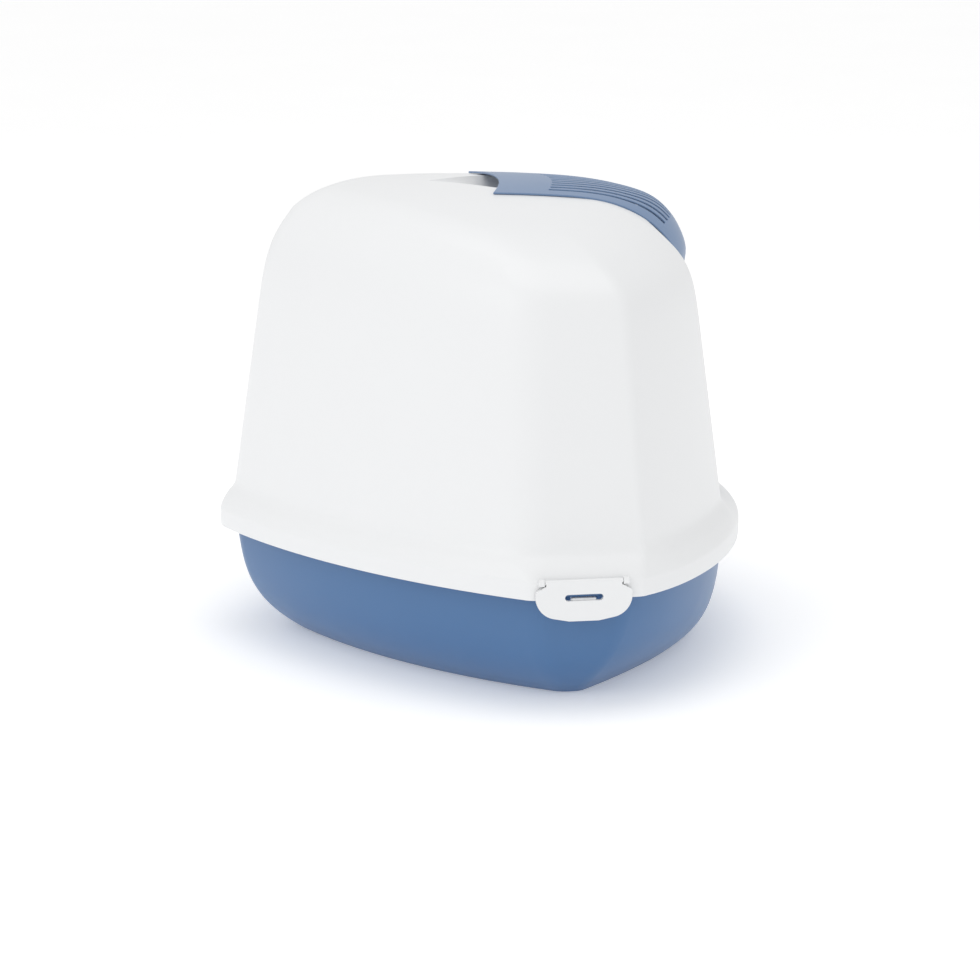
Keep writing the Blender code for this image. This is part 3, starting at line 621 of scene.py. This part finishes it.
# ---- Entrance ----
def make_door_frame():
    def ring(grow, place):
        return [Vector((x, place(z), z)) for x, z in door_outline(grow)]

    def seat(z):
        return panel_y(z) + FRAME_THICKNESS

    def inner_end(z):
        return FRAME_INNER_END

    inside, outside = -FRAME_FIT - FRAME_WALL, -FRAME_FIT
    rings = [ring(inside, panel_y), ring(FRAME_FLANGE, panel_y), ring(FRAME_FLANGE, seat),
             ring(outside, seat), ring(outside, inner_end), ring(inside, inner_end)]
    frame_shell = finished("entrance_frame", loft(rings, closed=True), 30)
    carve(frame_shell, ("DIFFERENCE", flap_rod(-DOOR_HALF_WIDTH - 0.01, DOOR_HALF_WIDTH + 0.01,
                                               FLAP_PIN_RADIUS + BORE_FIT)))
    return round_edges(frame_shell, 0.0007, 3, 50)


def flap_rod(start, end, radius):
    return rod((start, FLAP_Y, FLAP_PIVOT_Z), (end, FLAP_Y, FLAP_PIVOT_Z), radius)


def make_flap():
    half = DOOR_HALF_WIDTH - FRAME_FIT - FRAME_WALL - FLAP_SIDE_GAP
    low = DOOR_LOW + FRAME_FIT + FRAME_WALL + FLAP_LOW_GAP
    radius = DOOR_LOW_RADIUS - FRAME_FIT - FRAME_WALL
    steps = 14
    points = [(half, FLAP_PIVOT_Z), (-half, FLAP_PIVOT_Z)]
    for x, start in ((radius - half, 180), (half - radius, 270)):
        for i in range(steps + 1):
            angle = radians(start + 90 * i / steps)
            points.append((x + radius * cos(angle), low + radius + radius * sin(angle)))
    near = FLAP_Y - FLAP_THICKNESS / 2
    flap = finished("entrance_flap", prism([(x, near, z) for x, z in points], (0, FLAP_THICKNESS, 0)))
    pull = box((-FLAP_PULL_HALF, near - FLAP_PULL_PROUD, low + FLAP_PULL_HEIGHTS[0]),
               (FLAP_PULL_HALF, FLAP_Y, low + FLAP_PULL_HEIGHTS[1]))
    bore = FLAP_PIN_RADIUS + BORE_FIT
    carve(flap, ("UNION", flap_rod(-half, half, FLAP_BARREL_RADIUS)), ("UNION", pull),
          ("DIFFERENCE", flap_rod(-half - 0.005, 0.012 - half, bore)),
          ("DIFFERENCE", flap_rod(half - 0.012, half + 0.005, bore)))
    pins = {}
    for side, tag in SIDES:
        pin = flap_rod(side * (half - FLAP_PIN_SUNK), side * (DOOR_HALF_WIDTH + 0.0015), FLAP_PIN_RADIUS)
        pins[tag] = round_edges(finished("flap_hinge_pin_" + tag, pin), 0.0004)
    return round_edges(flap, 0.0005, 3, 50), pins


# ---- Latches ----
def latch_outline(steps=14):
    """(along the side, height) points of a latch's plate."""
    top = LATCH_BARREL_HALF - 0.001
    half = [(top, LATCH_PIVOT_Z), (top, LATCH_SHOULDER + LATCH_SLOPE),
            (LATCH_HALF_WIDTH - 0.001, LATCH_SHOULDER), (LATCH_HALF_WIDTH, LATCH_SHOULDER - 0.002)]
    for i in range(steps + 1):
        angle = radians(-78 * i / steps)
        half.append((LATCH_HALF_WIDTH - LATCH_CORNER + LATCH_CORNER * cos(angle),
                     LATCH_BOTTOM + LATCH_BOW + LATCH_CORNER + LATCH_CORNER * sin(angle)))
    half.append((0.012, LATCH_BOTTOM + 0.0004))
    return half + [(-y, z) for y, z in reversed(half)]


def finger_slot_outline(steps=10):
    radius, middle = (SLOT_HEIGHTS[1] - SLOT_HEIGHTS[0]) / 2, sum(SLOT_HEIGHTS) / 2
    points = []
    for y, start in ((SLOT_HALF_WIDTH - radius, -90), (radius - SLOT_HALF_WIDTH, 90)):
        for i in range(steps + 1):
            angle = radians(start + 180 * i / steps)
            points.append((y + radius * cos(angle), middle + radius * sin(angle)))
    return points


def make_latch(side, tag):
    def plate(points, inner, outer):
        return prism([(side * inner, LATCH_Y + y, z) for y, z in points], (side * (outer - inner), 0, 0))

    inner, outer = LATCH_PLATE
    span = LATCH_Y - HOOK_HALF_WIDTH, LATCH_Y + HOOK_HALF_WIDTH
    slot = finished("slot", plate(finger_slot_outline(), inner - 0.001, outer + 0.001))
    carve(slot, ("DIFFERENCE", side_box(side, (NOTCH[0], inner + 0.0012), span, HOOK_HEIGHTS)))
    latch = finished("side_latch_" + tag, plate(latch_outline(), inner, outer))
    carve(latch, ("UNION", latch_rod(side, LATCH_BARREL_HALF, LATCH_BARREL_RADIUS)),
          ("UNION", side_box(side, (HOOK_TIP, inner + 0.001), span, HOOK_HEIGHTS)),
          ("DIFFERENCE", slot),
          ("DIFFERENCE", latch_rod(side, LATCH_PIN_HALF + EAR_WIDTH, LATCH_PIN_RADIUS + BORE_FIT)))
    round_edges(latch, 0.0005, 3, 45)
    pin = finished("latch_hinge_pin_" + tag, latch_rod(side, LATCH_PIN_HALF, LATCH_PIN_RADIUS))
    return latch, round_edges(pin, 0.0002)


# ---- Materials ----
def linear(hex_colour):
    """An sRGB hex colour as linear red, green, blue and alpha."""
    values = [int(hex_colour[i:i + 2], 16) / 255 for i in (1, 3, 5)]
    return (*(v / 12.92 if v <= 0.04045 else ((v + 0.055) / 1.055) ** 2.4 for v in values), 1.0)


def add(material, kind, inputs=(), **settings):
    """Adds a node; inputs are (socket, value or the socket that feeds it)."""
    node = material.node_tree.nodes.new(kind)
    for name, value in settings.items():
        setattr(node, name, value)
    for socket, value in dict(inputs).items():
        if isinstance(value, bpy.types.NodeSocket):
            material.node_tree.links.new(value, node.inputs[socket])
        else:
            node.inputs[socket].default_value = value
    return node


def new_material(name):
    material = bpy.data.materials.new(name)
    material.use_nodes = True
    return material, material.node_tree.nodes["Principled BSDF"]


def moulded_plastic(name, colour, deeper, roughness, grain):
    """Injection-moulded polypropylene: an even colour with a satin, finely grained skin.

    The mould's spark-eroded grain is about 0.1 mm, too fine to show, so it is drawn 1.2 mm coarse.
    The colour drifts slightly over some 15 cm, as the melt cools, and the gloss over some 4 cm.
    """
    material, shader = new_material(name)
    links = material.node_tree.links
    place = add(material, "ShaderNodeTexCoord").outputs["Object"]
    drift = add(material, "ShaderNodeTexNoise", {"Vector": place, "Scale": 6.5, "Detail": 2.0})
    tone = add(material, "ShaderNodeMix", {"Factor": drift.outputs["Fac"]}, data_type="RGBA")
    tone.inputs[6].default_value = linear(colour)
    tone.inputs[7].default_value = linear(deeper)
    gloss = add(material, "ShaderNodeTexNoise", {"Vector": place, "Scale": 25.0, "Detail": 3.0})
    sheen = add(material, "ShaderNodeMapRange", {"Value": gloss.outputs["Fac"],
                                                 "To Min": roughness - 0.03, "To Max": roughness + 0.04})
    skin = add(material, "ShaderNodeTexNoise", {"Vector": place, "Scale": grain, "Detail": 2.0})
    relief = add(material, "ShaderNodeBump", {"Height": skin.outputs["Fac"], "Strength": 0.12,
                                              "Distance": 0.0002})
    links.new(tone.outputs[2], shader.inputs["Base Color"])
    links.new(sheen.outputs["Result"], shader.inputs["Roughness"])
    links.new(relief.outputs["Normal"], shader.inputs["Normal"])
    shader.inputs["IOR"].default_value = 1.49
    return material


def tinted_acrylic():
    """Clear smoke-blue acrylic sheet, polished, with the faint ripple of a moulded pane."""
    material, shader = new_material("tinted_acrylic")
    links = material.node_tree.links
    place = add(material, "ShaderNodeTexCoord").outputs["Object"]
    haze = add(material, "ShaderNodeTexNoise", {"Vector": place, "Scale": 30.0, "Detail": 3.0})
    sheen = add(material, "ShaderNodeMapRange", {"Value": haze.outputs["Fac"],
                                                 "To Min": 0.06, "To Max": 0.14})
    ripple = add(material, "ShaderNodeTexNoise", {"Vector": place, "Scale": 40.0, "Detail": 1.0})
    relief = add(material, "ShaderNodeBump", {"Height": ripple.outputs["Fac"], "Strength": 0.15,
                                              "Distance": 0.0004})
    tone = add(material, "ShaderNodeMix", {"Factor": haze.outputs["Fac"]}, data_type="RGBA")
    tone.inputs[6].default_value = linear("#8FA3B8")
    tone.inputs[7].default_value = linear("#849AB1")
    links.new(tone.outputs[2], shader.inputs["Base Color"])
    links.new(sheen.outputs["Result"], shader.inputs["Roughness"])
    links.new(relief.outputs["Normal"], shader.inputs["Normal"])
    shader.inputs["IOR"].default_value = 1.49
    shader.inputs["Transmission Weight"].default_value = 0.85
    return material


def carbon_foam():
    """Open-cell polyurethane foam steeped in carbon: matt black, with cells of about 1.5 mm, each
    painted darker towards its sunken pit as painted shade in the pore.
    """
    material, shader = new_material("carbon_foam")
    links = material.node_tree.links
    place = add(material, "ShaderNodeTexCoord").outputs["Object"]
    cells = add(material, "ShaderNodeTexVoronoi", {"Vector": place, "Scale": 650.0}, feature="F1")
    # painted shade: the colour darkens towards each cell's centre, where the bump sinks into a pore
    tone = add(material, "ShaderNodeMix", {"Factor": cells.outputs["Distance"]}, data_type="RGBA")
    tone.inputs[6].default_value = linear("#101112")
    tone.inputs[7].default_value = linear("#34363A")
    relief = add(material, "ShaderNodeBump", {"Height": cells.outputs["Distance"], "Strength": 0.9,
                                              "Distance": 0.0008})
    links.new(tone.outputs[2], shader.inputs["Base Color"])
    links.new(relief.outputs["Normal"], shader.inputs["Normal"])
    shader.inputs["Roughness"].default_value = 0.95
    return material


def drawn_steel():
    """Drawn stainless wire: bright, with fine lines along its length from the die."""
    material, shader = new_material("drawn_steel_wire")
    links = material.node_tree.links
    place = add(material, "ShaderNodeTexCoord").outputs["Object"]
    lengthwise = add(material, "ShaderNodeMapping", {"Vector": place, "Scale": (3000.0, 60.0, 3000.0)})
    lines = add(material, "ShaderNodeTexNoise", {"Vector": lengthwise.outputs["Vector"], "Scale": 1.0})
    sheen = add(material, "ShaderNodeMapRange", {"Value": lines.outputs["Fac"],
                                                 "To Min": 0.22, "To Max": 0.38})
    tone = add(material, "ShaderNodeMix", {"Factor": lines.outputs["Fac"]}, data_type="RGBA")
    tone.inputs[6].default_value = linear("#C2C4C8")
    tone.inputs[7].default_value = linear("#A9ACB1")
    links.new(tone.outputs[2], shader.inputs["Base Color"])
    links.new(sheen.outputs["Result"], shader.inputs["Roughness"])
    shader.inputs["Metallic"].default_value = 1.0
    return material


# ---- Surroundings ----
def studio_floor():
    """A sheet of opal acrylic lit from behind, so that only a soft shadow shows under the object."""
    bm = bmesh.new()
    bmesh.ops.create_grid(bm, x_segments=1, y_segments=1, size=12.0)
    bmesh.ops.translate(bm, vec=(0, 0, -0.0002), verts=bm.verts)
    floor = finished("studio_floor", bm)
    material, shader = new_material("lit_opal_acrylic")
    place = add(material, "ShaderNodeTexCoord").outputs["Object"]
    cloud = add(material, "ShaderNodeTexNoise", {"Vector": place, "Scale": 3.0, "Detail": 2.0})
    tone = add(material, "ShaderNodeMix", {"Factor": cloud.outputs["Fac"]}, data_type="RGBA")
    tone.inputs[6].default_value = linear("#FBFBFB")
    tone.inputs[7].default_value = linear("#F8F8F8")
    material.node_tree.links.new(tone.outputs[2], shader.inputs["Base Color"])
    shader.inputs["Roughness"].default_value = 0.9
    shader.inputs["Specular IOR Level"].default_value = 0.1
    shader.inputs["Emission Color"].default_value = (1.0, 1.0, 1.0, 1.0)
    shader.inputs["Emission Strength"].default_value = 0.22
    floor.data.materials.append(material)


def soft_light(name, place, aim, size, power):
    light = bpy.data.lights.new(name, "AREA")
    light.shape = "SQUARE"
    light.size = size
    light.energy = power
    obj = bpy.data.objects.new(name, light)
    bpy.context.scene.collection.objects.link(obj)
    place = Vector(place)
    obj.matrix_world = Matrix.LocRotScale(place, (Vector(aim) - place).to_track_quat("-Z", "Y"), None)


def studio():
    """Plain white surroundings, with a window-side light and one overhead, and the camera."""
    studio_floor()
    world = bpy.data.worlds.new("white_studio")
    world.use_nodes = True
    world.node_tree.nodes["Background"].inputs["Color"].default_value = (1.0, 1.0, 1.0, 1.0)
    world.node_tree.nodes["Background"].inputs["Strength"].default_value = 0.80
    bpy.context.scene.world = world
    soft_light("window_side", (-1.6, 2.2, 1.7), (0, 0, 0.2), 1.8, 9)
    soft_light("overhead", (-0.3, 0.1, 2.6), (0, 0, 0.2), 2.0, 13)
    bpy.context.scene.view_settings.view_transform = "Standard"
    camera = bpy.data.cameras.new("camera")
    camera.lens = 106.15
    camera.sensor_width = 36.0
    camera.clip_end = 60.0
    obj = bpy.data.objects.new("camera", camera)
    bpy.context.scene.collection.objects.link(obj)
    ahead = Vector((0.96183, -0.14661, -0.23107))
    obj.matrix_world = Matrix.LocRotScale(Vector((-2.473, 0.365, 0.711)),
                                          ahead.to_track_quat("-Z", "Y"), None)
    bpy.context.scene.camera = obj


# ---- Assembly ----
def dress(obj, material, body, node):
    obj.data.materials.clear()
    obj.data.materials.append(material)
    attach(obj, body)
    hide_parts(node)


def assemble():
    white = moulded_plastic("white_polypropylene", "#EBECED", "#E8E9EA", 0.36, 830.0)
    blue = moulded_plastic("slate_blue_polypropylene", "#4A72A0", "#466D9B", 0.34, 830.0)
    strip_blue = moulded_plastic("strip_blue_polypropylene", "#728AAC", "#6D86A8", 0.34, 830.0)
    acetal = moulded_plastic("natural_acetal", "#C3C8CE", "#B9BFC6", 0.40, 1500.0)
    acrylic, foam, steel = tinted_acrylic(), carbon_foam(), drawn_steel()

    dress(make_tray(), blue, "base", "tray")
    dress(make_hood(), white, "hood", "hood")
    dress(make_vent_strip(), strip_blue, "vent_cover", "vent_cover")
    pad, holder = make_filter()
    dress(pad, foam, "filter", "filter_pad")
    dress(holder, blue, "filter", "filter_holder")
    dress(make_door_frame(), blue, "hood", "door_frame")
    flap, flap_pins = make_flap()
    dress(flap, acrylic, "flap", "door_flap")
    for side, tag in SIDES:
        dress(flap_pins[tag], acetal, "hood", "flap_pin_" + tag)
        latch, pin = make_latch(side, tag)
        dress(latch, white, "latch_" + tag, "latch_" + tag)
        dress(pin, steel, "hood", "latch_pin_" + tag)


assemble()
studio()
